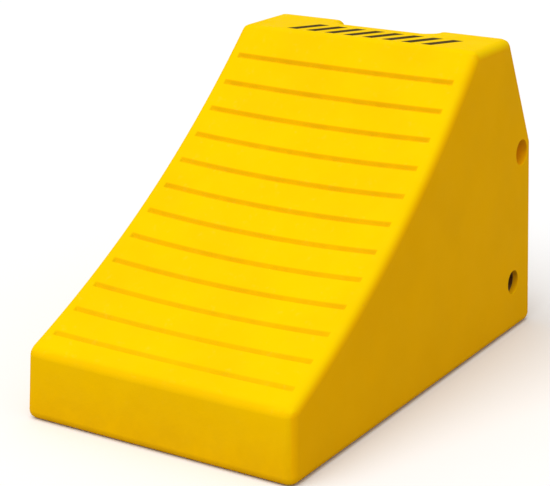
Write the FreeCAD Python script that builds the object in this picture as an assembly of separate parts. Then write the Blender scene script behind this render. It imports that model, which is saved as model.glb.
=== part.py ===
import FreeCAD, Part
import math
import os

Vector = FreeCAD.Vector

# Wheel chock for very large tyres: a moulded polyurethane wedge with a hollow tyre face, a recessed
# carrying bar at the heel and a lined cross bore for a tether rope. Millimetres, +Z up, the tyre face
# towards -Y, the origin under the middle of the base.

# Outside form of the body
base_width = 292.0
body_height = 315.5
lip_height = 69.7
face_run = 356.6
strip_depth = 79.2
heel_run = 55.0
heel_bend_height = 199.7
front_draft = 2.95
rear_draft = 1.4
side_draft = 1.85
edge_radius = 9.8
lip_radius = 13.0
foot_radius = 8.6

# Tyre face: hollow along its length at the side edges, with a further dish at mid width that is deeper
# towards the lip
face_hollow = 20.8
face_dish = 9.6
face_dish_lean = 4.5

# Grooves across the tyre face
groove_width = 6.4
groove_depth = 3.0
groove_root_offset = 1.0
groove_root_radius = 0.8
groove_pitch = 33.6
groove_lip_margin = 26.0
groove_strip_margin = 26.0
groove_side_margin = 13.5

# Hand pocket in the heel, open to the top and to the rear
pocket_strip_depth = 18.5
pocket_front_width = 92.0
pocket_width = 111.0
pocket_flare_depth = 7.0
pocket_corner = 6.0
pocket_floor_radius = 10.0
pocket_mouth_radius = 7.5
hand_room_below_bar = 50.0

# Carrying bar, its bore, plugs and grip
bar_diameter = 26.7
bar_wall = 2.8
bar_setback = 26.1
bar_drop = 8.1
bar_bore_clearance = 0.15
plug_recess = 14.0
plug_head = 8.0
plug_spigot = 14.0
plug_clearance = 0.1
plug_chamfer = 1.0
grip_wall = 3.8
grip_clearance = 0.1
grip_end_gap = 1.5
grip_ring_width = 2.5
grip_ring_depth = 1.0
grip_ring_pitch = 9.0
grip_end_margin = 14.0

# Tether bore and its liner tube
tether_bore = 25.0
tether_height = 54.8
tether_setback = 47.9
tether_tube_wall = 3.0
tether_tube_recess = 6.0
tether_tube_clearance = 0.1
bore_mouth_radius = 1.2

# Open cells in the underside
side_wall = 18.0
front_wall = 18.0
roof_wall = 22.0
heel_wall = 20.0
cell_size = 43.0
rib_foot = 10.0
rib_draft = 0.8

# How far a cutting form runs past what it cuts
overrun = 12.0

# How far apart two places may be and still count as one
same_place = 0.01


def slope(angle):
    """Rise of a line that leans by this many degrees."""
    return math.tan(math.radians(angle))


# Corners of the side profile, as (y, z), from the front base to the rear base
body_length = (lip_height * slope(front_draft) + face_run + strip_depth + heel_run
               + heel_bend_height * slope(rear_draft))
front_y = -body_length / 2
lip_y = front_y + lip_height * slope(front_draft)
strip_front_y = lip_y + face_run
strip_rear_y = strip_front_y + strip_depth
heel_bend_y = strip_rear_y + heel_run
rear_y = heel_bend_y + heel_bend_height * slope(rear_draft)

# The chord of the tyre face, from the lip's edge to the strip's edge
lip_edge = Vector(0, lip_y, lip_height)
strip_edge = Vector(0, strip_front_y, body_height)
chord = strip_edge - lip_edge
chord_length = chord.Length
along_face = Vector(chord).normalize()
into_face = Vector(0, along_face.z, -along_face.y)

# Axes of the two cross bores
bar_y = heel_bend_y - bar_setback
bar_z = heel_bend_height - bar_drop
tether_y = rear_y - tether_setback
bar_bore_radius = bar_diameter / 2 + bar_bore_clearance
pocket_front_y = strip_rear_y - pocket_strip_depth
pocket_floor_z = bar_z - hand_room_below_bar


def half_width(z):
    """Half of the body's width at height z."""
    return base_width / 2 - z * slope(side_draft)


def face_depth(share, x):
    """Depth of the tyre face below its chord, at a share of the chord and at x across."""
    middle = half_width((lip_height + body_height) / 2)
    dish = (face_dish + face_dish_lean * (1 - 2 * share)) * (1 - (x / middle) ** 2)
    return 4 * share * (1 - share) * (face_hollow + dish)


def face_lean(share):
    """How fast the tyre face deepens along its chord, at mid width."""
    steep = (1 - 2 * share) * (face_hollow + face_dish + face_dish_lean * (1 - 2 * share))
    return 4 * (steep - 2 * share * (1 - share) * face_dish_lean) / chord_length


def quadratic_poles(function, low, high):
    """The three Bezier poles of a quadratic function between two values."""
    middle_pole = 2 * function((low + high) / 2) - (function(low) + function(high)) / 2
    return [function(low), middle_pole, function(high)]


def cubic_poles(values):
    """The four Bezier poles of a cubic function, from its values at four even steps."""
    first, second, third, last = values
    lower_pole = (18 * second - 9 * third - 5 * first + 2 * last) / 6
    upper_pole = (18 * third - 9 * second - 5 * last + 2 * first) / 6
    return [first, lower_pole, upper_pole, last]


def prism(points, direction):
    """A solid swept from a flat outline along a direction."""
    outline = Part.makePolygon(points + [points[0]])
    return Part.Face(outline).extrude(direction)


def cross_prism(profile, half_span):
    """A solid with a (y, z) profile that spans -half_span to half_span across."""
    points = [Vector(-half_span, y, z) for y, z in profile]
    return prism(points, Vector(2 * half_span, 0, 0))


def cross_cylinder(radius, y, z, x_from, x_to):
    """A cylinder along X between two values of x."""
    return Part.makeCylinder(radius, x_to - x_from, Vector(x_from, y, z), Vector(1, 0, 0))


def side_form(inset):
    """The space between the two drafted sides, each moved inwards by inset."""
    low = -overrun
    high = body_height + overrun
    corners = [(-half_width(low) + inset, low), (half_width(low) - inset, low),
               (half_width(high) - inset, high), (-half_width(high) + inset, high)]
    start = front_y - overrun
    points = [Vector(x, start, z) for x, z in corners]
    return prism(points, Vector(0, body_length + 2 * overrun, 0))


def tyre_form(inset):
    """The space in front of the tyre face, which is a shallow dish, moved into the body by inset."""
    beyond = overrun / chord_length
    reach = base_width / 2 + overrun
    shares = [-beyond + (1 + 2 * beyond) * row / 3 for row in range(4)]
    across = [quadratic_poles(lambda x: face_depth(share, x), -reach, reach) for share in shares]
    surface = Part.BezierSurface()
    surface.increase(3, 2)
    for column in range(3):
        depths = cubic_poles([poles[column] for poles in across])
        for row in range(4):
            pole = lip_edge + chord * shares[row]
            pole += into_face * (depths[row] + inset)
            pole.x = reach * (column - 1)
            surface.setPole(row + 1, column + 1, pole)
    return surface.toShape().extrude(into_face * -(body_length + body_height))


def edges_where(shape, test):
    """The edges of a shape whose two ends and middle all pass a test."""
    found = []
    for edge in shape.Edges:
        middle = edge.valueAt((edge.FirstParameter + edge.LastParameter) / 2)
        points = [vertex.Point for vertex in edge.Vertexes] + [middle]
        if all(test(point) for point in points):
            found.append(edge)
    return found


def round_numbered(form, radii):
    """A solid with some of its edges rounded, from pairs of an edge's number and its radius."""
    document = FreeCAD.newDocument()
    sharp = document.addObject("Part::Feature")
    sharp.Shape = form
    rounded = document.addObject("Part::Fillet")
    rounded.Base = sharp
    rounded.Edges = [(number, radius, radius) for number, radius in radii]
    document.recompute()
    return rounded.Shape


def outer_form():
    """The body's outside, with its edges rounded and before anything is cut into it."""
    front_top_y = front_y + body_height * slope(front_draft)
    profile = [(front_y, 0), (front_top_y, body_height), (strip_rear_y, body_height),
               (heel_bend_y, heel_bend_height), (rear_y, 0)]
    form = cross_prism(profile, base_width)
    form = form.common(side_form(0)).cut(tyre_form(0))
    radii = []
    for number, edge in enumerate(form.Edges, 1):
        points = [vertex.Point for vertex in edge.Vertexes]
        on_foot = all(abs(point.z) < same_place for point in points)
        on_lip = all(math.hypot(point.y - lip_y, point.z - lip_height) < same_place for point in points)
        if not on_foot:
            radii.append((number, lip_radius if on_lip else edge_radius))
    form = round_numbered(form, radii)
    return form.makeFillet(foot_radius, edges_where(form, lambda point: abs(point.z) < same_place))


def groove_form(distance):
    """The cutting form of one groove, a V that follows the dish and is steeper towards the lip."""
    share = distance / chord_length
    seat = lip_edge + along_face * distance + into_face * face_depth(share, 0)
    travel = (along_face + into_face * face_lean(share)).normalize()
    inwards = Vector(0, travel.z, -travel.y)
    reach = half_width(seat.z) - groove_side_margin
    rise = face_depth(share, 0) - face_depth(share, reach)
    radius = (reach ** 2 + rise ** 2) / (2 * rise)
    turn = math.degrees(math.asin(reach / radius))
    root = seat + inwards * groove_depth - travel * groove_root_offset
    taller = 1 + overrun / groove_depth
    upper = root + (seat + travel * (groove_width / 2) - root) * taller
    lower = root + (seat - travel * (groove_width / 2) - root) * taller
    section = Part.Face(Part.makePolygon([root, upper, lower, root]))
    centre = seat - inwards * radius
    section.rotate(centre, travel, -turn)
    form = section.revolve(centre, travel, 2 * turn)
    arcs = [edge for edge in form.Edges if isinstance(edge.Curve, Part.Circle)]
    root_edge = max(arcs, key=lambda edge: edge.Curve.Radius)
    return form.makeFillet(groove_root_radius, [root_edge])


def grooves():
    """All the grooves, evenly spaced from the lip towards the strip."""
    room = chord_length - groove_lip_margin - groove_strip_margin
    count = int(room / groove_pitch) + 1
    return [groove_form(groove_lip_margin + number * groove_pitch) for number in range(count)]


def pocket_form():
    """The hand pocket: flared behind its front wall, then straight out through the heel."""
    front = pocket_front_width / 2
    full = pocket_width / 2
    flare_y = pocket_front_y + pocket_flare_depth
    behind = rear_y + overrun
    plan = [(-front, pocket_front_y), (front, pocket_front_y), (full, flare_y), (full, behind),
            (-full, behind), (-full, flare_y)]
    points = [Vector(x, y, pocket_floor_z) for x, y in plan]
    form = prism(points, Vector(0, 0, body_height - pocket_floor_z + overrun))
    upright = edges_where(form, lambda point: point.y < behind - overrun)
    upright = [edge for edge in upright if abs(edge.tangentAt(edge.FirstParameter).z) > 0.9]
    form = form.makeFillet(pocket_corner, upright)
    floor = edges_where(form, lambda point: abs(point.z - pocket_floor_z) < same_place)
    floor = [edge for edge in floor if edge.CenterOfMass.y < behind - 1]
    return form.makeFillet(pocket_floor_radius, floor)


def cell_cavity():
    """The open cells of the underside: a core under the tyre face, divided by drafted ribs."""
    front = front_y + front_wall
    rear = pocket_front_y - heel_wall
    roof = body_height - roof_wall
    lead = slope(front_draft)
    lean = slope(rib_draft)
    profile = [(front - overrun * lead, -overrun), (front + roof * lead, roof),
               (rear - roof * lean, roof), (rear + overrun * lean, -overrun)]
    core = cross_prism(profile, base_width)
    core = core.common(side_form(side_wall)).cut(tyre_form(roof_wall))
    ribs = []
    foot = rib_foot / 2 - overrun * lean
    top = rib_foot / 2 + body_height * lean
    inner = base_width - 2 * side_wall
    columns = max(1, round((inner + rib_foot) / (cell_size + rib_foot)))
    column_pitch = (inner + rib_foot) / columns
    for number in range(1, columns):
        x = -inner / 2 - rib_foot / 2 + number * column_pitch
        section = [(x - foot, -overrun), (x + foot, -overrun), (x + top, body_height), (x - top, body_height)]
        points = [Vector(across, front_y, z) for across, z in section]
        ribs.append(prism(points, Vector(0, body_length, 0)))
    rows = max(1, round((rear - front + rib_foot) / (cell_size + rib_foot)))
    row_pitch = (rear - front + rib_foot) / rows
    for number in range(1, rows):
        y = front - rib_foot / 2 + number * row_pitch
        section = [(y - foot, -overrun), (y + foot, -overrun), (y + top, body_height), (y - top, body_height)]
        ribs.append(cross_prism(section, base_width))
    return core.cut(ribs)


def chock_body():
    """The moulded body with its pocket, bores, grooves and underside cells."""
    outside = outer_form()
    pocket = pocket_form()
    body = outside.cut(pocket)
    skin = Part.makeShell(outside.Faces)
    walls = Part.makeShell(pocket.Faces)

    def on_mouth(point):
        vertex = Part.Vertex(point)
        return vertex.distToShape(skin)[0] < same_place and vertex.distToShape(walls)[0] < same_place

    body = body.makeFillet(pocket_mouth_radius, edges_where(body, on_mouth))
    tube_end = half_width(tether_height) - tether_tube_recess
    tube_seat = tether_bore / 2 + tether_tube_wall + tether_tube_clearance
    bores = [cross_cylinder(bar_bore_radius, bar_y, bar_z, -base_width, base_width),
             cross_cylinder(tether_bore / 2, tether_y, tether_height, -base_width, base_width)]
    body = body.cut(bores)
    side_x = half_width(body_height)
    mouths = []
    for edge in edges_where(body, lambda point: abs(point.x) > side_x):
        for y, z in ((bar_y, bar_z), (tether_y, tether_height)):
            at_axis = math.hypot(edge.CenterOfMass.y - y, edge.CenterOfMass.z - z) < bar_bore_radius
            if at_axis:
                mouths.append(edge)
    body = body.makeFillet(bore_mouth_radius, mouths)
    body = body.cut(cross_cylinder(tube_seat, tether_y, tether_height, -tube_end, tube_end))
    body = body.cut(grooves())
    return body.cut(cell_cavity())


def bar_end():
    """Where the bar's end faces lie, behind the plugs' heads."""
    return half_width(bar_z) - plug_recess - plug_head - plug_clearance


def handle_bar():
    """The steel carrying bar, a tube across the hand pocket."""
    end = bar_end()
    bar = cross_cylinder(bar_diameter / 2, bar_y, bar_z, -end, end)
    return bar.cut(cross_cylinder(bar_diameter / 2 - bar_wall, bar_y, bar_z, -end, end))


def handle_grip():
    """The ringed rubber sleeve on the bar, between the pocket's side walls."""
    end = pocket_width / 2 - grip_end_gap
    inner = bar_diameter / 2 + grip_clearance
    outer = inner + grip_wall
    grip = cross_cylinder(outer, bar_y, bar_z, -end, end)
    grip = grip.makeFillet(grip_wall / 2, edges_where(grip, lambda point: abs(point.x) > end - same_place))
    cuts = [cross_cylinder(inner, bar_y, bar_z, -end, end)]
    count = int((2 * end - 2 * grip_end_margin) / grip_ring_pitch) + 1
    for number in range(count):
        x = (number - (count - 1) / 2) * grip_ring_pitch
        low = x - grip_ring_width / 2
        high = x + grip_ring_width / 2
        ring = cross_cylinder(outer + overrun, bar_y, bar_z, low, high)
        cuts.append(ring.cut(cross_cylinder(outer - grip_ring_depth, bar_y, bar_z, low, high)))
    return grip.cut(cuts)


def bar_plug(side):
    """One plug: a head that closes the bore and a spigot inside the bar. side is -1 or 1."""
    face = half_width(bar_z) - plug_recess
    seat = face - plug_head
    tip = seat - plug_spigot
    head = cross_cylinder(bar_bore_radius - plug_clearance, bar_y, bar_z, seat, face)
    spigot = cross_cylinder(bar_diameter / 2 - bar_wall - plug_clearance, bar_y, bar_z, tip, seat)
    plug = head.fuse(spigot).removeSplitter()
    ends = edges_where(plug, lambda point: point.x > face - same_place or point.x < tip + same_place)
    plug = plug.makeChamfer(plug_chamfer, ends)
    if side < 0:
        plug = plug.mirror(Vector(0, 0, 0), Vector(1, 0, 0))
    return plug


def tether_tube():
    """The steel liner of the tether bore, moulded in behind both mouths."""
    end = half_width(tether_height) - tether_tube_recess
    tube = cross_cylinder(tether_bore / 2 + tether_tube_wall, tether_y, tether_height, -end, end)
    return tube.cut(cross_cylinder(tether_bore / 2, tether_y, tether_height, -end, end))


nodes = {
    "chock_body": chock_body(),
    "handle_bar": handle_bar(),
    "handle_grip": handle_grip(),
    "left_bar_plug": bar_plug(-1),
    "right_bar_plug": bar_plug(1),
    "tether_tube": tether_tube(),
}

os.makedirs("parts", exist_ok=True)
for name, shape in nodes.items():
    shape.exportStep("parts/" + name + ".step")
    box = shape.BoundBox
    print(name, len(shape.Solids), "solid(s), valid", shape.isValid(), "litres", round(shape.Volume / 1e6, 3),
          "box", [round(value, 1) for value in (box.XMin, box.XMax, box.YMin, box.YMax, box.ZMin, box.ZMax)])
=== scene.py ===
import math

import bmesh
import bpy
from bpy.props import FloatProperty, FloatVectorProperty, IntProperty, PointerProperty
from mathutils import Matrix, Vector


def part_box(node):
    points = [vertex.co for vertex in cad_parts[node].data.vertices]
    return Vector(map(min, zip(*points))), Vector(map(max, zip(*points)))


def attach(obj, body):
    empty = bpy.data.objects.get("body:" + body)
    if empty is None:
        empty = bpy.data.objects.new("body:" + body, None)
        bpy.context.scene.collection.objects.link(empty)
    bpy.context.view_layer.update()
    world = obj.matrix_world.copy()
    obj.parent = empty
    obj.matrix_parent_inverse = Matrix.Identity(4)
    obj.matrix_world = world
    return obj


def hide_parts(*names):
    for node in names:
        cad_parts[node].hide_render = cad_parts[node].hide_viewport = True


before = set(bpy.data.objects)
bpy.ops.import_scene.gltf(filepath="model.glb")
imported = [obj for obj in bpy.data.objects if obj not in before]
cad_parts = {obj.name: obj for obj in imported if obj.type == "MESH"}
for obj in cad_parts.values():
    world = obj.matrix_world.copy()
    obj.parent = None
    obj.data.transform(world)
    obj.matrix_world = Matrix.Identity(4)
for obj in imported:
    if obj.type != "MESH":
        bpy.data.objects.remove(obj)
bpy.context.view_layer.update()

bl_info = {
    "name": "Wheel chock",
    "version": (1, 0, 0),
    "blender": (4, 5, 0),
    "location": "3D View > Sidebar > Wheel chock",
    "description": "Builds a cast wheel chock around its packed frame and sets up a plain studio",
    "category": "Add Mesh",
}

MILLIMETRE = 0.001
NEAR = 0.01 * MILLIMETRE
SHARP = math.radians(60)
OUTSIDE, TYRE_FACE, CUT = 0, 1, 2


def length(name, description, millimetres):
    """A size in metres whose default is written in millimetres."""
    return FloatProperty(name=name, description=description, default=millimetres * MILLIMETRE,
                         min=0.0, precision=4, unit="LENGTH")


def angle(name, description, degrees):
    """An angle whose default is written in degrees."""
    return FloatProperty(name=name, description=description, default=math.radians(degrees), subtype="ANGLE")


def colour(name, description, *shade):
    """A colour with full opacity."""
    return FloatVectorProperty(name=name, description=description, default=(*shade, 1.0), size=4,
                               min=0.0, max=1.0, subtype="COLOR")


def amount(name, description, default, low=0.0, high=10.0):
    """A plain number."""
    return FloatProperty(name=name, description=description, default=default, min=low, max=high)


class BodySizes(bpy.types.PropertyGroup):
    """Outside form of the cast body"""
    base_width: length("Base width", "Width of the body at the floor", 292.0)
    body_height: length("Height", "Height of the top strip", 315.5)
    lip_height: length("Lip height", "Height of the front lip", 69.7)
    face_run: length("Face run", "Ground length of the tyre face", 356.6)
    strip_depth: length("Strip depth", "Depth of the top strip, front to back", 79.2)
    heel_run: length("Heel run", "Ground length of the heel's upper slope", 55.0)
    heel_bend_height: length("Heel bend height", "Height at which the heel turns upright", 199.7)
    front_draft: angle("Front draft", "Lean of the front lip", 2.95)
    rear_draft: angle("Rear draft", "Lean of the lower heel", 1.4)
    side_draft: angle("Side draft", "Lean of both sides", 1.85)
    edge_radius: length("Edge radius", "Rounding of the outer edges", 9.8)
    lip_radius: length("Lip radius", "Rounding of the lip's upper edge", 13.0)
    foot_radius: length("Foot radius", "Rounding of the edges at the floor", 8.6)
    face_hollow: length("Face hollow", "Hollow of the tyre face along its length", 20.8)
    face_dish: length("Face dish", "Further dish of the tyre face at mid width", 9.6)
    face_dish_lean: length("Face dish lean", "How much deeper the dish is towards the lip", 4.5)


class GrooveSizes(bpy.types.PropertyGroup):
    """Grooves across the tyre face"""
    width: length("Width", "Width of a groove at the surface", 6.4)
    depth: length("Depth", "Depth of a groove before its root is rounded", 3.0)
    root_offset: length("Root offset", "How far the root lies from mid groove towards the lip", 1.0)
    pitch: length("Pitch", "Distance from groove to groove", 33.6)
    lip_margin: length("Lip margin", "Distance of the first groove from the lip's edge", 26.0)
    strip_margin: length("Strip margin", "Room kept below the top strip", 26.0)
    side_margin: length("Side margin", "Distance of a groove's ends from the sides", 13.5)
    root_softness: length("Root softness", "Rounding of the groove's root", 1.0)
    softness: length("Softness", "Rounding where a groove meets the face", 0.6)


class PocketSizes(bpy.types.PropertyGroup):
    """Hand pocket, bores and underside cells"""
    strip_cut: length("Strip cut", "Depth of the pocket in the top strip", 18.5)
    front_width: length("Front width", "Width of the pocket's front wall", 92.0)
    full_width: length("Full width", "Width of the pocket behind its flare", 111.0)
    flare_depth: length("Flare depth", "Front to back depth of the flare", 7.0)
    corner_radius: length("Corner radius", "Rounding of the upright corners", 6.0)
    floor_radius: length("Floor radius", "Rounding around the pocket's floor", 10.0)
    mouth_radius: length("Mouth radius", "Rounding of the pocket's mouth", 7.5)
    hand_room: length("Hand room", "Distance of the floor below the bar's axis", 50.0)
    bar_bore: length("Bar bore", "Diameter of the upper cross bore", 27.0)
    tether_bore: length("Tether bore", "Diameter of the lower cross bore", 25.0)
    tube_seat: length("Tube seat", "Diameter of the seat of the liner tube", 31.2)
    bore_mouth_radius: length("Bore mouth radius", "Rounding of the bores' mouths", 0.5)
    overrun: length("Overrun", "How far a cutting form runs past the body", 12.0)


class CellSizes(bpy.types.PropertyGroup):
    """Open cells in the underside"""
    side_wall: length("Side wall", "Thickness of the side walls", 18.0)
    front_wall: length("Front wall", "Thickness of the front wall", 18.0)
    roof_wall: length("Roof wall", "Thickness under the tyre face and the strip", 22.0)
    heel_wall: length("Heel wall", "Thickness between the cells and the hand pocket", 20.0)
    cell_size: length("Cell size", "Aimed size of one cell", 43.0)
    rib_foot: length("Rib foot", "Thickness of a rib at the floor", 10.0)
    rib_draft: angle("Rib draft", "Lean of the ribs' sides", 0.8)
    corner_radius: length("Corner radius", "Rounding of the cells' corners", 4.0)
    rim_radius: length("Rim radius", "Rounding of the cells' rims", 1.5)


class FittingSizes(bpy.types.PropertyGroup):
    """Grip sleeve and bore plugs"""
    grip_bore: length("Grip bore", "Bore of the grip sleeve", 26.9)
    grip_rings: IntProperty(name="Grip rings", description="Number of ring grooves around the grip",
                            default=10, min=0)
    ring_width: length("Ring width", "Width of a ring groove", 2.5)
    ring_depth: length("Ring depth", "Depth of a ring groove", 1.0)
    ring_pitch: length("Ring pitch", "Distance from ring to ring", 9.0)
    ring_softness: length("Ring softness", "Rounding of the rings' edges", 0.4)
    plug_head: length("Plug head", "Thickness of a plug's head", 8.0)
    plug_rim: length("Plug rim", "Rounding of the rim of a plug's head", 1.0)
    spigot: length("Spigot", "Diameter of the plug's spigot", 20.9)


class BarMarks(bpy.types.PropertyGroup):
    """Row of slanted bars painted on the top strip"""
    front: length("Front", "Distance of the row's front behind mid length", 117.0)
    rear: length("Rear", "Distance of the row's rear behind mid length", 152.0)
    left_reach: length("Left reach", "How far the row runs to the left of the middle", 80.0)
    right_reach: length("Right reach", "How far the row runs to the right of the middle", 96.0)
    pitch: length("Pitch", "Distance from bar to bar", 22.0)
    gap: length("Gap", "Width of the bare strip between two bars", 10.4)
    lean: amount("Lean", "Sideways travel of a bar for each unit of its length", 0.55)
    edge: length("Edge", "Half of the width over which the paint's edge fades", 0.3)
    raggedness: length("Raggedness", "How far the paint's edge strays", 0.6)


class WearAndPaintedLight(bpy.types.PropertyGroup):
    """Rubbing, painted light and shade, and the darkening at the lip's foot, as shares from 0 to 1"""
    # Painted light on the lip's front: its share at the foot, and the further share at its top.
    lip_foot_painted_light: amount("Lip foot fade", "Fading at the foot of the lip's front", 0.25)
    lip_edge_painted_light: amount("Lip edge fade", "Further fading at the top of the lip's front", 0.35)
    # Painted light on the groove walls: the least share they get.
    groove_painted_light: amount("Groove fade", "Fading of the grooves' walls", 0.5)
    # Painted shade in the grooves: its share at the floor's height, and the further share at the top
    # strip's height.
    groove_shade: amount("Groove soil", "Dirt in a groove at the floor's height", 0.35)
    high_groove_shade: amount("High groove soil", "Further dirt in a groove at the top strip's height", 0.2)
    # Painted shade along the foot, up to this height.
    foot_shade_height: length("Foot soil height", "Height up to which the floor soils the body", 6.0)
    # Darkening towards the foot of the lip's front.
    lip_foot_darkening: amount("Lip soil", "Dirt at the foot of the lip's front", 0.45)
    # Painted shade on a bore's wall, growing from its floor to its roof.
    bore_roof_shade: amount("Bore soil", "How fast dirt gathers from a bore's floor to its roof", 2.0)
    side_rub: amount("Side rub", "Rubbing of what does not face upwards", 0.35)


class FinishColours(bpy.types.PropertyGroup):
    """Colours of the finishes"""
    # Painted light: the lit urethane colour, where the surface faces the sky.
    urethane_lit: colour("Open urethane", "Urethane that faces the sky", 0.92, 0.60, 0.0)
    # Painted shade: the shaded urethane colour, on upright faces, groove walls, the lip's front and the
    # bores.
    urethane_shaded: colour("Deep urethane", "Urethane on upright and inner surfaces", 0.98, 0.49, 0.0)
    plug: colour("Plug", "Urethane of the bore plugs", 0.80, 0.42, 0.004)
    mottle: colour("Mottle", "Darker mottling of the urethane", 0.62, 0.30, 0.004)
    cloud: colour("Cloud", "Paler clouds in the urethane", 1.0, 0.72, 0.03)
    # Brown of the painted shade and of the darkening at the lip's foot.
    painted_shade: colour("Soil", "Dirt on the urethane", 0.30, 0.12, 0.01)
    scuff: colour("Scuff", "Scuffs in the urethane", 1.0, 0.74, 0.10)
    bars: colour("Bars", "Paint of the slanted bars on the strip", 0.035, 0.022, 0.006)
    zinc: colour("Zinc", "Galvanised steel", 0.52, 0.53, 0.54)
    spangle: colour("Spangle", "Paler crystals of the zinc", 0.66, 0.67, 0.69)
    bloom: colour("Bloom", "White rust on the zinc", 0.40, 0.40, 0.39)
    # Dirt and painted shade inside the liner tube.
    grime_and_shade: colour("Grime", "Dirt inside the liner tube", 0.36, 0.20, 0.09)
    rubber: colour("Rubber", "Rubber of the grip sleeve", 0.022, 0.022, 0.023)
    dust: colour("Dust", "Dust on the rubber", 0.060, 0.056, 0.050)
    floor: colour("Floor", "Studio floor", 0.92, 0.92, 0.92)


class StageSettings(bpy.types.PropertyGroup):
    """Lamps and camera"""
    sky: amount("Sky", "Strength of the even light from all around", 0.55)
    key: amount("Key", "Strength of the high front lamp", 2.0)
    key_height: angle("Key height", "Height of the lamp above the horizon", 64.0)
    key_turn: angle("Key turn", "Turn of the lamp from straight in front", -12.0)
    key_spread: angle("Key spread", "Apparent width of the lamp", 60.0)
    bounce: amount("Bounce", "Share of light that the floor sends back to the object", 0.52)
    camera_turn: angle("Camera turn", "Turn of the camera from straight in front", 30.792)
    camera_height: angle("Camera height", "Height of the camera above the horizon", 17.916)
    camera_roll: angle("Camera roll", "Roll of the camera", 0.395)
    camera_place: FloatVectorProperty(name="Camera place", description="Where the camera stands",
                                      default=(0.83863, -1.40582, 0.65599), unit="LENGTH")
    lens: amount("Lens", "Focal length in millimetres", 114.14, 1.0, 500.0)
    shift_x: amount("Shift X", "Sideways shift of the picture", -0.0426, -1.0, 1.0)
    shift_y: amount("Shift Y", "Upward shift of the picture", 0.0031, -1.0, 1.0)
    floor_reach: length("Floor reach", "Half of the floor's width", 9000.0)


GROUPS = {
    "chock_body": BodySizes,
    "chock_grooves": GrooveSizes,
    "chock_pocket": PocketSizes,
    "chock_cells": CellSizes,
    "chock_fittings": FittingSizes,
    "chock_bars": BarMarks,
    "chock_wear": WearAndPaintedLight,
    "chock_colours": FinishColours,
    "chock_stage": StageSettings,
}


def settings(name):
    """One of the add-on's property groups."""
    return getattr(bpy.context.scene, name)


def millimetres(*values):
    """A list of sizes in metres, written in millimetres."""
    return [value * MILLIMETRE for value in values]


def middle(node):
    """The middle of a node of the frame."""
    low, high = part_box(node)
    return (low + high) / 2


def smooth_min(first, second, softness):
    """The smaller of two values, with the change from one to the other rounded."""
    near = max(softness - abs(first - second), 0) / softness
    return min(first, second) - near * near * softness / 4


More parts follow.
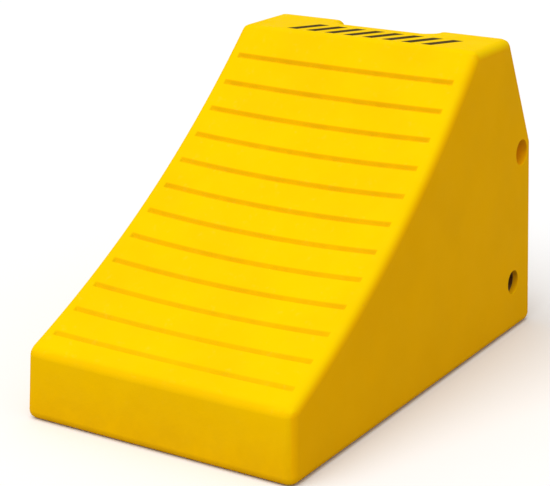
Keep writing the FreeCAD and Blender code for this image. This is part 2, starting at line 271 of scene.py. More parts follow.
class TyreFace:
    """The hollow, dished and grooved surface that the tyre rests on."""

    def __init__(self):
        self.sizes = settings("chock_body")
        self.grooves = settings("chock_grooves")
        sizes = self.sizes
        run = (sizes.lip_height * math.tan(sizes.front_draft) + sizes.face_run + sizes.strip_depth
               + sizes.heel_run + sizes.heel_bend_height * math.tan(sizes.rear_draft))
        self.front_y = -run / 2
        self.lip_y = self.front_y + sizes.lip_height * math.tan(sizes.front_draft)
        self.strip_front_y = self.lip_y + sizes.face_run
        self.strip_rear_y = self.strip_front_y + sizes.strip_depth
        self.heel_bend_y = self.strip_rear_y + sizes.heel_run
        self.rear_y = run / 2
        self.lip = Vector((0, self.lip_y, sizes.lip_height))
        self.chord = Vector((0, self.strip_front_y, sizes.body_height)) - self.lip
        self.along = self.chord.normalized()
        self.inwards = Vector((0, self.along.z, -self.along.y))
        grooves = self.grooves
        room = self.chord.length - grooves.lip_margin - grooves.strip_margin
        count = int(room / grooves.pitch) + 1
        self.groove_places = [grooves.lip_margin + number * grooves.pitch for number in range(count)]

    def half_width(self, height):
        """Half of the body's width at a height."""
        return self.sizes.base_width / 2 - height * math.tan(self.sizes.side_draft)

    def depth(self, share, across):
        """Depth below the chord at a share of the chord and at a distance from the middle."""
        sizes = self.sizes
        half = self.half_width((sizes.lip_height + sizes.body_height) / 2)
        dish = (sizes.face_dish + sizes.face_dish_lean * (1 - 2 * share)) * (1 - (across / half) ** 2)
        return 4 * share * (1 - share) * (sizes.face_hollow + dish)

    def under(self, share):
        """The unit vector that points into the body, square to the face at mid width."""
        sizes = self.sizes
        dish = sizes.face_dish + sizes.face_dish_lean * (1 - 2 * share)
        steep = (1 - 2 * share) * (sizes.face_hollow + dish)
        lean = 4 * (steep - 2 * share * (1 - share) * sizes.face_dish_lean) / self.chord.length
        travel = (self.along + self.inwards * lean).normalized()
        return Vector((0, travel.z, -travel.y))

    def groove_depth(self, distance, from_side):
        """How deep the grooves are at a distance along the chord and from the side."""
        grooves = self.grooves
        beside = min((distance - place for place in self.groove_places), key=abs)
        half = grooves.width / 2
        upper = grooves.depth * (half - beside) / (half + grooves.root_offset)
        lower = grooves.depth * (half + beside) / (half - grooves.root_offset)
        walls = smooth_min(upper, lower, grooves.root_softness)
        inside = smooth_min(walls, from_side - grooves.side_margin, grooves.softness)
        return -smooth_min(-inside, 0, grooves.softness)

    def rows(self):
        """Distances along the chord at which the face gets a row of edges."""
        beside_groove = millimetres(0.6, 1.2, 1.8, 2.4, 2.9, 3.3, 3.7, 4.2, 5.0)
        above_lip = millimetres(0.0, 12.0, 16.5)
        below_strip = millimetres(24.0, 15.0, 8.0, 0.0)
        rows_between = 3
        found = above_lip
        for number, place in enumerate(self.groove_places):
            if number:
                gap = place - beside_groove[-1] - found[-1]
                found += [found[-1] + gap * (row + 1) / (rows_between + 1) for row in range(rows_between)]
            found += [place - step for step in reversed(beside_groove)]
            found += [place] + [place + step for step in beside_groove]
        return found + [self.chord.length - step for step in below_strip]

    def columns(self, half):
        """Distances from the middle at which the face gets a column of edges."""
        from_side = millimetres(0.0, 11.4, 12.8, 13.4, 14.0, 14.8, 15.8, 17.0, 19.0)
        spaces = 20
        inner = half - from_side[-1]
        between = [inner * (2 * number / spaces - 1) for number in range(1, spaces)]
        return [step - half for step in from_side] + between + [half - step for step in reversed(from_side)]

    def place(self, row, column, distance, columns):
        """The point of the finished face for one row and column."""
        share = distance / self.chord.length
        seat = self.lip + self.along * distance
        half = self.half_width(seat.z)
        across = self.columns(half)[column]
        point = seat + self.inwards * self.depth(share, across)
        point.x = across * self.half_width(point.z) / half
        from_side = self.half_width(point.z) - abs(point.x)
        return point + self.under(share) * self.groove_depth(distance, from_side)


def settle(mesh, form):
    """Writes a bmesh to a mesh and lets it go."""
    form.to_mesh(mesh)
    form.free()


def piece_from(form, name):
    """Turns a bmesh into an object in the scene."""
    mesh = bpy.data.meshes.new(name)
    settle(mesh, form)
    piece = bpy.data.objects.new(name, mesh)
    bpy.context.scene.collection.objects.link(piece)
    return piece


def form_of(piece):
    """A bmesh with the piece's mesh in it."""
    form = bmesh.new()
    form.from_mesh(piece.data)
    return form


def apply_modifiers(piece):
    """Makes the piece's mesh what its modifiers show."""
    shown = piece.evaluated_get(bpy.context.evaluated_depsgraph_get())
    mesh = bpy.data.meshes.new_from_object(shown)
    piece.modifiers.clear()
    old = piece.data
    piece.data = mesh
    bpy.data.meshes.remove(old)
    mesh.name = piece.name


def sweep(form, outline, travel):
    """Adds a solid swept from a flat outline."""
    base = form.faces.new([form.verts.new(point) for point in outline])
    swept = bmesh.ops.extrude_face_region(form, geom=[base])
    far = [part for part in swept["geom"] if isinstance(part, bmesh.types.BMVert)]
    bmesh.ops.translate(form, verts=far, vec=travel)
    bmesh.ops.recalc_face_normals(form, faces=form.faces)


def round_edges(piece, radius_of, segments):
    """Rounds each edge to the radius that radius_of gives it."""
    form = form_of(piece)
    weight = form.edges.layers.float.new("bevel_weight_edge")
    setbacks = {}
    for edge in form.edges:
        radius = radius_of(edge)
        if radius:
            setbacks[edge] = radius * math.tan(edge.calc_face_angle() / 2)
    widest = max(setbacks.values())
    for edge, setback in setbacks.items():
        edge[weight] = setback / widest
    settle(piece.data, form)
    rounding = piece.modifiers.new("rounding", "BEVEL")
    rounding.limit_method = "WEIGHT"
    rounding.width = widest
    rounding.segments = segments
    rounding.profile = 0.5
    rounding.use_clamp_overlap = False
    apply_modifiers(piece)


def cut_away(piece, cutter):
    """Cuts the cutter's form out of the piece and marks the faces that it leaves."""
    marks = [bpy.data.materials.new(name) for name in ("outside", "tyre face", "cut")]
    for target in (piece, cutter):
        target.data.materials.clear()
        for mark in marks:
            target.data.materials.append(mark)
    form = form_of(cutter)
    for face in form.faces:
        face.material_index = CUT
    settle(cutter.data, form)
    cut = piece.modifiers.new("cut", "BOOLEAN")
    cut.operation = "DIFFERENCE"
    cut.solver = "EXACT"
    cut.object = cutter
    apply_modifiers(piece)
    bpy.data.objects.remove(cutter)
    for mark in marks:
        bpy.data.materials.remove(mark)


def soften_rim(piece, radius, segments, chosen=lambda edge: True):
    """Rounds the rim between the last cut and what it was cut into."""
    form = form_of(piece)
    rim = [edge for edge in form.edges
           if len({face.material_index == CUT for face in edge.link_faces}) == 2 and chosen(edge)]
    bmesh.ops.bevel(form, geom=rim, offset=radius, offset_type="OFFSET", segments=segments, profile=0.5,
                    affect="EDGES", material=-1, clamp_overlap=False, loop_slide=True)
    for face in form.faces:
        face.material_index = OUTSIDE
    settle(piece.data, form)


def turned(name, profile, axis_place, steps=64):
    """A solid turned around a line along X, from a profile of x and radius."""
    form = bmesh.new()
    points = [form.verts.new((x, axis_place.y, axis_place.z + radius)) for x, radius in profile]
    lines = [form.edges.new(pair) for pair in zip(points, points[1:])]
    bmesh.ops.spin(form, geom=points + lines, cent=axis_place, axis=(1, 0, 0), angle=math.tau,
                   steps=steps, use_merge=True)
    bmesh.ops.remove_doubles(form, verts=form.verts, dist=NEAR / 10)
    bmesh.ops.recalc_face_normals(form, faces=form.faces)
    return piece_from(form, name)


def shade(piece, crease):
    """Smooth shading with flat faces kept flat and creases kept sharp."""
    piece.data.shade_smooth()
    piece.data.set_sharp_from_angle(angle=math.radians(crease))
    normals = piece.modifiers.new("even shading", "WEIGHTED_NORMAL")
    normals.keep_sharp = True
    normals.weight = 80


def body_blank(face):
    """The body's outside before its edges are rounded, with the tyre face in its final shape."""
    sizes = face.sizes
    form = bmesh.new()
    outline = [(face.front_y, 0), (face.lip_y, sizes.lip_height), (face.strip_front_y, sizes.body_height),
               (face.strip_rear_y, sizes.body_height), (face.heel_bend_y, sizes.heel_bend_height),
               (face.rear_y, 0)]
    sweep(form, [(-1, y, z) for y, z in outline], (2, 0, 0))
    for vertex in form.verts:
        vertex.co.x *= face.half_width(vertex.co.z)
    bmesh.ops.recalc_face_normals(form, faces=form.faces)
    shape_tyre_face(form, face)
    return piece_from(form, "cast_body")


def runs_across(edge):
    """Whether an edge runs from side to side."""
    return abs((edge.verts[0].co - edge.verts[1].co).normalized().x) > 0.7


def shape_tyre_face(form, face):
    """Divides the sloping face into a grid and moves the grid to the hollow and its grooves."""
    blank = max(form.faces, key=lambda side: -side.normal.dot(face.inwards))
    blank.material_index = TYRE_FACE
    rows = face.rows()
    half = face.half_width(face.sizes.lip_height)
    last_column = len(face.columns(half)) - 1
    ridges = [edge for edge in blank.edges if not runs_across(edge)]
    bmesh.ops.subdivide_edges(form, edges=ridges, cuts=len(rows) - 2, use_grid_fill=True)
    grid = [side for side in form.faces if side.material_index == TYRE_FACE]
    across = {edge for side in grid for edge in side.edges if runs_across(edge)}
    bmesh.ops.subdivide_edges(form, edges=list(across), cuts=last_column - 1, use_grid_fill=True)
    points = {vertex for side in form.faces if side.material_index == TYRE_FACE for vertex in side.verts}
    for vertex in points:
        row = round((vertex.co - face.lip).dot(face.along) / face.chord.length * (len(rows) - 1))
        column = round((vertex.co.x / face.half_width(vertex.co.z) + 1) / 2 * last_column)
        vertex.co = face.place(row, column, rows[row], last_column)


def outer_radius(face):
    """A function that gives each edge of the blank its rounding."""
    nearly_flat = math.radians(15)

    def radius_of(edge):
        if edge.calc_face_angle() < nearly_flat:
            return 0
        if all(side.material_index == TYRE_FACE for side in edge.link_faces):
            return 0
        if all(vertex.co.z < MILLIMETRE for vertex in edge.verts):
            return face.sizes.foot_radius
        if all((vertex.co - face.lip).yz.length < MILLIMETRE for vertex in edge.verts):
            return face.sizes.lip_radius
        return face.sizes.edge_radius

    return radius_of


def pocket_cutter(face):
    """The form of the hand pocket."""
    sizes = settings("chock_pocket")
    front = sizes.front_width / 2
    full = sizes.full_width / 2
    front_y = face.strip_rear_y - sizes.strip_cut
    flare_y = front_y + sizes.flare_depth
    behind = face.rear_y + sizes.overrun
    floor = middle("handle_bar").z - sizes.hand_room
    plan = [(-front, front_y), (front, front_y), (full, flare_y), (full, behind),
            (-full, behind), (-full, flare_y)]
    form = bmesh.new()
    sweep(form, [(x, y, floor) for x, y in plan], (0, 0, face.sizes.body_height - floor + sizes.overrun))
    cutter = piece_from(form, "pocket cutter")

    def radius_of(edge):
        ends = [vertex.co for vertex in edge.verts]
        if min(end.y for end in ends) > behind - MILLIMETRE:
            return 0
        if max(end.z for end in ends) < floor + MILLIMETRE:
            return sizes.floor_radius
        upright = abs(ends[0].z - ends[1].z) > sizes.overrun
        return sizes.corner_radius if upright else 0

    round_edges(cutter, radius_of, 5)
    return cutter


def cut_bores(body, face):
    """Cuts the two cross bores and rounds their mouths."""
    sizes = settings("chock_pocket")
    beyond = face.sizes.base_width / 2 + sizes.overrun
    tube_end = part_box("tether_tube")[1].x
    bar = sizes.bar_bore / 2
    tether = sizes.tether_bore / 2
    seat = sizes.tube_seat / 2
    straight = [(-beyond, 0), (-beyond, bar), (beyond, bar), (beyond, 0)]
    stepped = [(-beyond, 0), (-beyond, tether), (-tube_end, tether), (-tube_end, seat),
               (tube_end, seat), (tube_end, tether), (beyond, tether), (beyond, 0)]
    outer_x = face.half_width(face.sizes.body_height) - 2 * sizes.overrun

    def at_side(edge):
        return all(abs(vertex.co.x) > outer_x for vertex in edge.verts)

    for node, profile in (("handle_bar", straight), ("tether_tube", stepped)):
        cut_away(body, turned("bore cutter", profile, middle(node)))
        soften_rim(body, sizes.bore_mouth_radius, 4, at_side)


def cells_cutter(face):
    """The forms of all the open cells of the underside."""
    sizes = settings("chock_cells")
    front = face.front_y + sizes.front_wall
    rear = face.strip_rear_y - settings("chock_pocket").strip_cut - sizes.heel_wall
    inner = face.sizes.base_width - 2 * sizes.side_wall
    roof = face.sizes.body_height - sizes.roof_wall
    pitch = sizes.cell_size + sizes.rib_foot
    columns = max(1, round((inner + sizes.rib_foot) / pitch))
    rows = max(1, round((rear - front + sizes.rib_foot) / pitch))
    wide = (inner + sizes.rib_foot) / columns
    long = (rear - front + sizes.rib_foot) / rows
    whole = bmesh.new()
    for column in range(columns):
        for row in range(rows):
            x = -inner / 2 - sizes.rib_foot / 2 + (column + 0.5) * wide
            y = front - sizes.rib_foot / 2 + (row + 0.5) * long
            cell = cell_form(face, sizes, x, y, wide - sizes.rib_foot, long - sizes.rib_foot, roof)
            mesh = bpy.data.meshes.new("cell")
            settle(mesh, cell)
            whole.from_mesh(mesh)
            bpy.data.meshes.remove(mesh)
    return piece_from(whole, "cells cutter")


def cell_form(face, sizes, x, y, wide, long, roof):
    """The form of one cell, drafted, closed by the wall under the tyre face, with rounded corners."""
    form = bmesh.new()
    below = settings("chock_pocket").overrun
    tall = roof + below
    place = Matrix.Translation((x, y, roof / 2 - below / 2)) @ Matrix.Diagonal((wide, long, tall, 1))
    bmesh.ops.create_cube(form, size=1, matrix=place)
    share = min(max((y - face.lip_y) / face.sizes.face_run, 0), 1)
    under = face.under(share)
    seat = face.lip + face.chord * share + face.inwards * face.depth(share, x) + under * sizes.roof_wall
    if seat.z < roof + long:
        cut = bmesh.ops.bisect_plane(form, geom=form.verts[:] + form.edges[:] + form.faces[:],
                                     plane_co=seat, plane_no=-under, clear_outer=True)
        rim = [part for part in cut["geom_cut"] if isinstance(part, bmesh.types.BMEdge)]
        bmesh.ops.holes_fill(form, edges=rim)
    for vertex in form.verts:
        lean = 1 - 2 * max(vertex.co.z, 0) * math.tan(sizes.rib_draft) / wide
        vertex.co.x = x + (vertex.co.x - x) * lean
        vertex.co.y = y + (vertex.co.y - y) * lean
    bmesh.ops.recalc_face_normals(form, faces=form.faces)
    corners = [edge for edge in form.edges if min(vertex.co.z for vertex in edge.verts) > -below / 2
               or abs(edge.verts[0].co.z - edge.verts[1].co.z) > below / 2]
    bmesh.ops.bevel(form, geom=corners, offset=sizes.corner_radius, offset_type="OFFSET", segments=3,
                    profile=0.5, affect="EDGES", material=-1, clamp_overlap=True)
    return form


class Finish:
    """Builds one procedural material on Object coordinates."""

    def __init__(self, name, **constants):
        self.material = bpy.data.materials.new(name)
        self.material.use_nodes = True
        self.nodes = self.material.node_tree.nodes
        self.links = self.material.node_tree.links
        self.shader = self.nodes["Principled BSDF"]
        self.place = self.nodes.new("ShaderNodeTexCoord").outputs["Object"]
        for socket, value in constants.items():
            self.shader.inputs[socket.replace("_", " ")].default_value = value

    def feed(self, socket, value):
        """Links a socket, or sets it to a constant."""
        if isinstance(value, bpy.types.NodeSocket):
            self.links.new(value, socket)
        else:
            socket.default_value = value

    def noise(self, scale, detail=2.0, roughness=0.5, distortion=0.0):
        """Even noise, with scale in patches a metre."""
        texture = self.nodes.new("ShaderNodeTexNoise")
        self.links.new(self.place, texture.inputs["Vector"])
        texture.inputs["Scale"].default_value = scale
        texture.inputs["Detail"].default_value = detail
        texture.inputs["Roughness"].default_value = roughness
        texture.inputs["Distortion"].default_value = distortion
        return texture.outputs["Fac"]

    def maths(self, operation, first, second):
        """One step of arithmetic."""
        step = self.nodes.new("ShaderNodeMath")
        step.operation = operation
        self.feed(step.inputs[0], first)
        self.feed(step.inputs[1], second)
        return step.outputs[0]

    def plus(self, first, second):
        """The sum of two values."""
        return self.maths("ADD", first, second)

    def minus(self, first, second):
        """The first value less the second."""
        return self.maths("SUBTRACT", first, second)

    def times(self, first, second):
        """The product of two values."""
        return self.maths("MULTIPLY", first, second)

    def span(self, value, low, high, start=0.0, end=1.0):
        """Maps low to high onto start to end, smoothly."""
        step = self.nodes.new("ShaderNodeMapRange")
        step.interpolation_type = "SMOOTHSTEP"
        for socket, number in zip(step.inputs, (value, low, high, start, end)):
            self.feed(socket, number)
        return step.outputs[0]

    def axis(self, name):
        """One coordinate of the surface point."""
        parts = self.nodes.new("ShaderNodeSeparateXYZ")
        self.links.new(self.place, parts.inputs[0])
        return parts.outputs[name]

    def attribute(self, name):
        """A value that the mesh carries."""
        source = self.nodes.new("ShaderNodeAttribute")
        source.attribute_name = name
        return source.outputs["Fac"]

    def mix(self, share, first, second):
        """A mix of two colours."""
        step = self.nodes.new("ShaderNodeMix")
        step.data_type = "RGBA"
        self.feed(step.inputs["Factor"], share)
        colours = [socket for socket in step.inputs if socket.type == "RGBA"]
        self.feed(colours[0], first)
        self.feed(colours[1], second)
        return [socket for socket in step.outputs if socket.type == "RGBA"][0]

    def bump(self, height, distance, below=None):
        """A small relief, with its depth in metres."""
        step = self.nodes.new("ShaderNodeBump")
        step.inputs["Strength"].default_value = 1.0
        step.inputs["Distance"].default_value = distance
        self.feed(step.inputs["Height"], height)
        if below:
            self.feed(step.inputs["Normal"], below)
        return step.outputs["Normal"]

    def finished(self, base, roughness, normal):
        """Links the colour, roughness and relief to the shader and gives back the material."""
        self.feed(self.shader.inputs["Base Color"], base)
        self.feed(self.shader.inputs["Roughness"], roughness)
        self.feed(self.shader.inputs["Normal"], normal)
        return self.material


def urethane(name, lit_colour, shaded_colour, bars=False):
    """Cast urethane with painted light: a lit colour where it faces the sky and a shaded colour on upright
    and inner surfaces.
    """
    finish = Finish(name, Specular_IOR_Level=0.004)
    colours = settings("chock_colours")
    mottle_share, cloud_share, scuff_share = 0.11, 0.03, 0.10
    # Least and most of the painted shade, broken up by noise.
    least_shade, most_shade = 0.10, 0.30
    # Painted light and shade: the sky mask mixes the shaded colour into the lit colour.
    base = finish.mix(finish.attribute("sky"), shaded_colour, lit_colour)
    mottle = finish.span(finish.noise(13.0, detail=3.0, roughness=0.55), 0.32, 0.72)
    base = finish.mix(finish.times(mottle, mottle_share), base, colours.mottle)
    cloud = finish.span(finish.noise(46.0, distortion=0.4), 0.3, 0.75)
    base = finish.mix(finish.times(cloud, cloud_share), base, colours.cloud)
    # Painted shade near the floor, in the grooves and on the bores' roofs, and darkening at the lip's foot.
    patches = finish.span(finish.noise(70.0, detail=3.0), 0.25, 0.7, least_shade, most_shade)
    base = finish.mix(finish.times(finish.attribute("painted_shade"), patches), base, colours.painted_shade)
    scuff = finish.span(finish.noise(110.0, detail=5.0, roughness=0.7), 0.56, 0.80)
    scuff = finish.times(scuff, finish.attribute("rub"))
    base = finish.mix(finish.times(scuff, scuff_share), base, colours.scuff)
    if bars:
        base = finish.mix(slanted_bars(finish), base, colours.bars)
    roughness = finish.span(finish.noise(35.0, detail=3.0), 0.3, 0.7, 0.46, 0.58)
    grain = finish.bump(finish.noise(1400.0, detail=1.0), 0.02 * MILLIMETRE)
    skin = finish.bump(finish.noise(260.0, roughness=0.45), 0.05 * MILLIMETRE, grain)
    swell = finish.bump(finish.noise(20.0, detail=1.0, roughness=0.4), 0.4 * MILLIMETRE, skin)
    return finish.finished(base, roughness, swell)


def slanted_bars(finish):
    """The mask of a row of slanted painted bars on the top strip."""
    marks = settings("chock_bars")
    edge = marks.edge
    half_gap = marks.gap / 2
    strip_top = settings("chock_body").body_height - 4.5 * MILLIMETRE
    x = finish.axis("X")
    y = finish.axis("Y")
    stray = finish.times(finish.minus(finish.noise(900.0, detail=3.0), 0.5), marks.raggedness)
    along = finish.plus(finish.plus(x, finish.times(y, -marks.lean)), stray)
    bars = finish.span(finish.maths("PINGPONG", along, marks.pitch / 2), half_gap - edge, half_gap + edge)
    over_y = finish.plus(y, stray)
    from_middle = finish.minus(y, (marks.front + marks.rear) / 2)
    over_x = finish.plus(x, finish.times(from_middle, -marks.lean))
    bounds = (finish.span(over_y, marks.front - edge, marks.front + edge),
              finish.span(over_y, marks.rear + edge, marks.rear - edge),
              finish.span(over_x, -marks.left_reach - edge, -marks.left_reach + edge),
              finish.span(over_x, marks.right_reach + edge, marks.right_reach - edge),
              finish.span(finish.axis("Z"), strip_top - MILLIMETRE, strip_top + MILLIMETRE))
    mask = bars
    for bound in bounds:
        mask = finish.times(mask, bound)
    thin_paint, full_paint = 0.72, 0.97
    worn = finish.span(finish.noise(320.0, detail=4.0, roughness=0.7), 0.28, 0.40, thin_paint, full_paint)
    return finish.times(mask, worn)


def galvanised(name):
    """Dull zinc with its faint spangle and a few white blooms, browned inside the liner tube by dirt and
    painted shade.
    """
    finish = Finish(name, Metallic=1.0)
    colours = settings("chock_colours")
    spangle_share, bloom_share = 0.5, 0.5
    crystals = finish.nodes.new("ShaderNodeTexVoronoi")
    finish.links.new(finish.place, crystals.inputs["Vector"])
    crystals.inputs["Scale"].default_value = 220.0
    grey = finish.nodes.new("ShaderNodeRGBToBW")
    finish.links.new(crystals.outputs["Color"], grey.inputs[0])
    spangle = finish.span(grey.outputs[0], 0.1, 0.9)
    base = finish.mix(finish.times(spangle, spangle_share), colours.zinc, colours.spangle)
    bloom = finish.span(finish.noise(90.0, detail=4.0, roughness=0.6), 0.55, 0.75)
    base = finish.mix(finish.times(bloom, bloom_share), base, colours.bloom)
    # Dirt and painted shade on the liner tube's inner wall.
    base = finish.mix(inside_liner(finish), base, colours.grime_and_shade)
    roughness = finish.span(finish.plus(spangle, bloom), 0.0, 1.6, 0.38, 0.68)
    relief = finish.bump(finish.noise(500.0, detail=3.0), 0.04 * MILLIMETRE)
    return finish.finished(base, roughness, relief)


def inside_liner(finish):
    """The mask of the liner tube's inner wall."""
    liner = middle("tether_tube")
    wall = settings("chock_pocket").tether_bore / 2
    off_y = finish.minus(finish.axis("Y"), liner.y)
    off_z = finish.minus(finish.axis("Z"), liner.z)
    off_axis = finish.plus(finish.times(off_y, off_y), finish.times(off_z, off_z))
    return finish.span(off_axis, (wall + 0.8 * MILLIMETRE) ** 2, (wall + 0.4 * MILLIMETRE) ** 2)


def ringed_rubber(name):
    """Matt black rubber, greyer where hands and dust have been."""
    finish = Finish(name, Specular_IOR_Level=0.35)
    colours = settings("chock_colours")
    dust_share = 0.5
    dust = finish.span(finish.noise(55.0, detail=4.0, roughness=0.6), 0.4, 0.75)
    base = finish.mix(finish.times(dust, dust_share), colours.rubber, colours.dust)
    roughness = finish.span(finish.noise(120.0), 0.3, 0.7, 0.58, 0.78)
    pebble = finish.bump(finish.noise(1800.0), 0.05 * MILLIMETRE)
    return finish.finished(base, roughness, pebble)


def studio_floor(name):
    """A pale floor that shows near white and sends back less light than it shows."""
    finish = Finish(name, Roughness=0.9, Specular_IOR_Level=0.0)
    shown = settings("chock_colours").floor
    bounce = settings("chock_stage").bounce
    path = finish.nodes.new("ShaderNodeLightPath")
    mirrored = finish.maths("MAXIMUM", path.outputs["Is Glossy Ray"], path.outputs["Is Transmission Ray"])
    seen = finish.maths("MAXIMUM", path.outputs["Is Camera Ray"], mirrored)
    cloud = finish.span(finish.noise(1.5), 0.3, 0.7)
    cloud_share, cloud_tone = 0.5, 0.99
    clouded = [cloud_tone * value for value in shown[:3]] + [1]
    pale = finish.mix(finish.times(cloud, cloud_share), shown, clouded)
    base = finish.mix(seen, (bounce, bounce, bounce, 1), pale)
    finish.feed(finish.shader.inputs["Base Color"], base)
    return finish.material


def faces_front(normal):
    """Whether a surface faces forwards, as the lip's front does."""
    return normal.y < -0.8


def in_bore(place, normal, bores):
    """Whether a place is on the wall of one of the bores, which are given by axis and radius."""
    near = any((place - axis).yz.length < radius + MILLIMETRE for axis, radius in bores)
    return near and abs(normal.x) < 0.5


def in_groove(place, face):
    """How far a place is into a groove, from 0 at its rim to 1 on its walls and root."""
    distance = (place - face.lip).dot(face.along)
    below = (place - face.lip).dot(face.inwards) - face.depth(distance / face.chord.length, place.x)
    if below > 1.5 * face.grooves.depth:
        return 0
    groove = face.groove_depth(distance, face.half_width(place.z) - abs(place.x))
    return min(3 * groove / face.grooves.depth, 1)


def painted_light_at(place, normal, face, bores):
    """How much painted light a place gets, from 0 for the shaded colour to 1 for the lit colour: most where
    it faces the sky, a share rising with height on the lip's front, some on the groove walls, none in a
    bore.
    """
    wear_and_light = settings("chock_wear")
    # Painted shade: bore walls take the shaded colour.
    if in_bore(place, normal, bores):
        return 0
    # Painted light on the lip's front, rising towards its top.
    if faces_front(normal) and place.z < face.sizes.lip_height:
        return wear_and_light.lip_foot_painted_light + wear_and_light.lip_edge_painted_light * place.z / face.sizes.lip_height
    # Painted light where the surface faces the sky, with some kept on the groove walls.
    up = min(max((normal.z - 0.15) / 0.6, 0), 1)
    return max(up * up * (3 - 2 * up), wear_and_light.groove_painted_light * in_groove(place, face))


def painted_shade_at(place, normal, face, bores):
    """How much painted shade a place gets: near the floor, in the grooves and on the roofs of the bores; on
    the lip's front it is only darker towards the foot.
    """
    wear_and_light = settings("chock_wear")
    in_grooves = wear_and_light.groove_shade + wear_and_light.high_groove_shade * place.z / face.sizes.body_height
    # Painted shade near the floor and in the grooves.
    painted_shade = max(1 - place.z / wear_and_light.foot_shade_height, in_grooves * in_groove(place, face))
    if faces_front(normal):
        # Darker towards the foot of the lip's front.
        painted_shade = max(painted_shade, wear_and_light.lip_foot_darkening * (1 - place.z / face.sizes.lip_height))
    if in_bore(place, normal, bores):
        # Painted shade on the bore walls, most on their roofs.
        painted_shade = max(painted_shade, wear_and_light.bore_roof_shade * min(0.4 - normal.z, 1))
    return max(painted_shade, 0)


def mark_surface(piece, face):
    """Gives the body's mesh what its finish reads: the painted light share (sky), rub and painted shade."""
    mesh = piece.data
    form = form_of(piece)
    normals = [max(vertex.link_faces, key=lambda side: side.calc_area()).normal.copy()
               for vertex in form.verts]
    form.free()
    sizes = settings("chock_pocket")
    side_rub = settings("chock_wear").side_rub
    bores = ((middle("handle_bar"), sizes.bar_bore / 2), (middle("tether_tube"), sizes.tether_bore / 2))
    sky, rub, painted_shade = [mesh.attributes.new(name, "FLOAT", "POINT") for name in ("sky", "rub", "painted_shade")]
    for vertex, normal in zip(mesh.vertices, normals):
        sky.data[vertex.index].value = painted_light_at(vertex.co, normal, face, bores)
        rub.data[vertex.index].value = 1 if normal.z > 0.25 else side_rub
        painted_shade.data[vertex.index].value = painted_shade_at(vertex.co, normal, face, bores)


class CHOCK_OT_body(bpy.types.Operator):
    """Casts the body with its tyre face, grooves, hand pocket, bores and underside cells"""
    bl_idname = "chock.cast_body"
    bl_label = "Cast the body"

    def execute(self, context):
        face = TyreFace()
        sizes = settings("chock_pocket")
        body = body_blank(face)
        round_edges(body, outer_radius(face), 6)
        cut_away(body, pocket_cutter(face))
        soften_rim(body, sizes.mouth_radius, 5)
        cut_bores(body, face)
        cut_away(body, cells_cutter(face))
        soften_rim(body, settings("chock_cells").rim_radius, 2)
        mark_surface(body, face)
        shade(body, 38)
        colours = settings("chock_colours")
        finish = urethane("Cast urethane", colours.urethane_lit, colours.urethane_shaded, bars=True)
        body.data.materials.clear()
        body.data.materials.append(finish)
        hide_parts("chock_body")
        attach(body, "root")
        return {"FINISHED"}


class CHOCK_OT_plugs(bpy.types.Operator):
    """Moulds the two plugs that close the upper bore"""
    bl_idname = "chock.mould_plugs"
    bl_label = "Mould the plugs"

    def execute(self, context):
        sizes = settings("chock_fittings")
        colours = settings("chock_colours")
        finish = urethane("Plug urethane", colours.plug, colours.plug)
        for side, node in ((-1, "left_bar_plug"), (1, "right_bar_plug")):
            low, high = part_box(node)
            outer = (high.z - low.z) / 2
            face_x = max(abs(low.x), abs(high.x))
            tip_x = min(abs(low.x), abs(high.x))
            seat_x = face_x - sizes.plug_head
            profile = [(face_x, 0), (face_x, outer), (seat_x, outer), (seat_x, sizes.spigot / 2),
                       (tip_x, sizes.spigot / 2), (tip_x, 0)]
            outline = [(side * x, radius) for x, radius in profile]
            plug = turned(node.replace("bar_plug", "bore_plug"), outline, middle(node))

            def radius_of(edge, face_x=face_x, tip_x=tip_x):
                at_end = all(min(abs(abs(vertex.co.x) - end) for end in (face_x, tip_x)) < NEAR
                             for vertex in edge.verts)
                return sizes.plug_rim if at_end and edge.calc_face_angle() > SHARP else 0

            round_edges(plug, radius_of, 4)
            shade(plug, 35)
            plug.data.materials.append(finish)
            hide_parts(node)
            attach(plug, "root")
        return {"FINISHED"}


class CHOCK_OT_steel(bpy.types.Operator):
    """Galvanises the carrying bar and the tether bore's liner tube"""
    bl_idname = "chock.galvanise_tubes"
    bl_label = "Galvanise the tubes"

    def execute(self, context):
        finish = galvanised("Galvanised steel")
        for node in ("handle_bar", "tether_tube"):
            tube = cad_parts[node]
            for slot in tube.material_slots:
                slot.material = finish
        return {"FINISHED"}


class CHOCK_OT_grip(bpy.types.Operator):
    """Moulds the ringed rubber sleeve on the carrying bar"""
    bl_idname = "chock.mould_grip"
    bl_label = "Mould the grip"

    def execute(self, context):
        sizes = settings("chock_fittings")
        low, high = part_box("handle_grip")
        axis = middle("handle_grip")
        outer = (high.z - low.z) / 2
        bore = sizes.grip_bore / 2
        end = high.x
        profile = [(-end, bore), (-end, outer)]
        for number in range(sizes.grip_rings):
            x = (number - (sizes.grip_rings - 1) / 2) * sizes.ring_pitch
            start = x - sizes.ring_width / 2
            stop = x + sizes.ring_width / 2
            floor = outer - sizes.ring_depth
            profile += [(start, outer), (start, floor), (stop, floor), (stop, outer)]
        profile += [(end, outer), (end, bore), (-end, bore)]
        grip = turned("grip_sleeve", profile, axis, 72)

        def radius_of(edge):
            if edge.calc_face_angle() < SHARP:
                return 0
            radii = [math.hypot(vertex.co.y - axis.y, vertex.co.z - axis.z) for vertex in edge.verts]
            at_end = all(abs(abs(vertex.co.x) - end) < NEAR for vertex in edge.verts)
            if at_end:
                return (outer - bore) / 2 if min(radii) > outer - 10 * NEAR else 0
            return sizes.ring_softness

        round_edges(grip, radius_of, 3)
        shade(grip, 50)
        grip.data.materials.append(ringed_rubber("Ringed rubber"))
        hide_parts("handle_grip")
        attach(grip, "root")
        return {"FINISHED"}


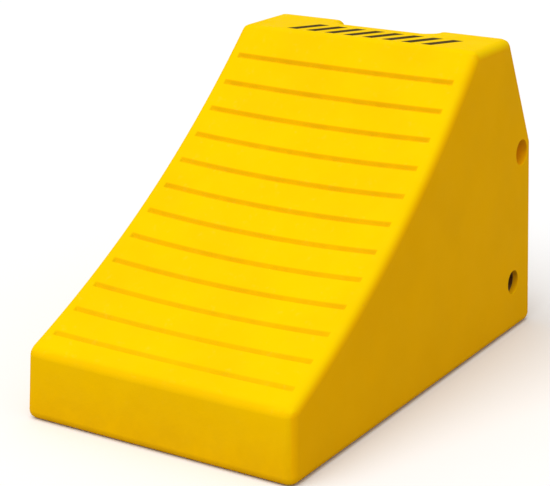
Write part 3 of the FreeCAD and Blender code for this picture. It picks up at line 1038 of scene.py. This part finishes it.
class CHOCK_OT_stage(bpy.types.Operator):
    """Lays the floor, lights the sky, hangs the lamp and places the camera"""
    bl_idname = "chock.set_stage"
    bl_label = "Set the stage"

    def execute(self, context):
        stage = settings("chock_stage")
        form = bmesh.new()
        bmesh.ops.create_grid(form, x_segments=1, y_segments=1, size=stage.floor_reach)
        floor = piece_from(form, "studio_floor")
        floor.data.materials.append(studio_floor("Studio floor"))
        self.light(context, stage)
        self.place_camera(context, stage)
        context.scene.view_settings.view_transform = "Standard"
        return {"FINISHED"}

    def light(self, context, stage):
        """An even sky that shows white, and one broad high lamp."""
        world = bpy.data.worlds.new("Studio sky")
        context.scene.world = world
        world.use_nodes = True
        nodes = world.node_tree.nodes
        links = world.node_tree.links
        path = nodes.new("ShaderNodeLightPath")
        seen = path.outputs["Is Camera Ray"]
        for name in ("Is Glossy Ray", "Is Transmission Ray"):
            either = nodes.new("ShaderNodeMath")
            either.operation = "MAXIMUM"
            links.new(seen, either.inputs[0])
            links.new(path.outputs[name], either.inputs[1])
            seen = either.outputs[0]
        strength = nodes.new("ShaderNodeMapRange")
        links.new(seen, strength.inputs["Value"])
        strength.inputs["To Min"].default_value = stage.sky
        strength.inputs["To Max"].default_value = 1.0
        background = nodes["Background"]
        background.inputs["Color"].default_value = (1, 1, 1, 1)
        links.new(strength.outputs[0], background.inputs["Strength"])
        lamp = bpy.data.lights.new("key lamp", "SUN")
        lamp.energy = stage.key
        lamp.angle = stage.key_spread
        key = bpy.data.objects.new("key_lamp", lamp)
        context.scene.collection.objects.link(key)
        towards = view_direction(stage.key_turn, stage.key_height)
        key.rotation_euler = towards.to_track_quat("Z", "Y").to_euler()
        key.location = towards * 3

    def place_camera(self, context, stage):
        """A camera without depth of field."""
        lens = bpy.data.cameras.new("camera")
        lens.lens = stage.lens
        lens.shift_x = stage.shift_x
        lens.shift_y = stage.shift_y
        camera = bpy.data.objects.new("camera", lens)
        context.scene.collection.objects.link(camera)
        back = view_direction(stage.camera_turn, stage.camera_height)
        turn = back.to_track_quat("Z", "Y").to_matrix() @ Matrix.Rotation(stage.camera_roll, 3, "Z")
        camera.location = stage.camera_place
        camera.rotation_euler = turn.to_euler()
        context.scene.camera = camera


def view_direction(turn, height):
    """The direction from the object to a lamp or camera."""
    return Vector((math.sin(turn) * math.cos(height), -math.cos(turn) * math.cos(height), math.sin(height)))


class CHOCK_PT_pieces(bpy.types.Panel):
    """Lists the pieces and their sizes"""
    bl_idname = "CHOCK_PT_pieces"
    bl_label = "Wheel chock"
    bl_space_type = "VIEW_3D"
    bl_region_type = "UI"
    bl_category = "Wheel chock"

    def draw(self, context):
        for operator in OPERATORS:
            self.layout.operator(operator.bl_idname)
        for name, group in GROUPS.items():
            box = self.layout.box()
            box.label(text=group.bl_rna.description)
            for field in group.__annotations__:
                box.prop(getattr(context.scene, name), field)


OPERATORS = (CHOCK_OT_body, CHOCK_OT_plugs, CHOCK_OT_steel, CHOCK_OT_grip, CHOCK_OT_stage)


def register():
    for kind in (*GROUPS.values(), *OPERATORS, CHOCK_PT_pieces):
        bpy.utils.register_class(kind)
    for name, group in GROUPS.items():
        setattr(bpy.types.Scene, name, PointerProperty(type=group))


def unregister():
    for name in GROUPS:
        delattr(bpy.types.Scene, name)
    for kind in (CHOCK_PT_pieces, *OPERATORS, *GROUPS.values()):
        bpy.utils.unregister_class(kind)


def main():
    register()
    bpy.ops.chock.cast_body()
    bpy.ops.chock.mould_plugs()
    bpy.ops.chock.galvanise_tubes()
    bpy.ops.chock.mould_grip()
    bpy.ops.chock.set_stage()


if __name__ == "__main__":
    main()
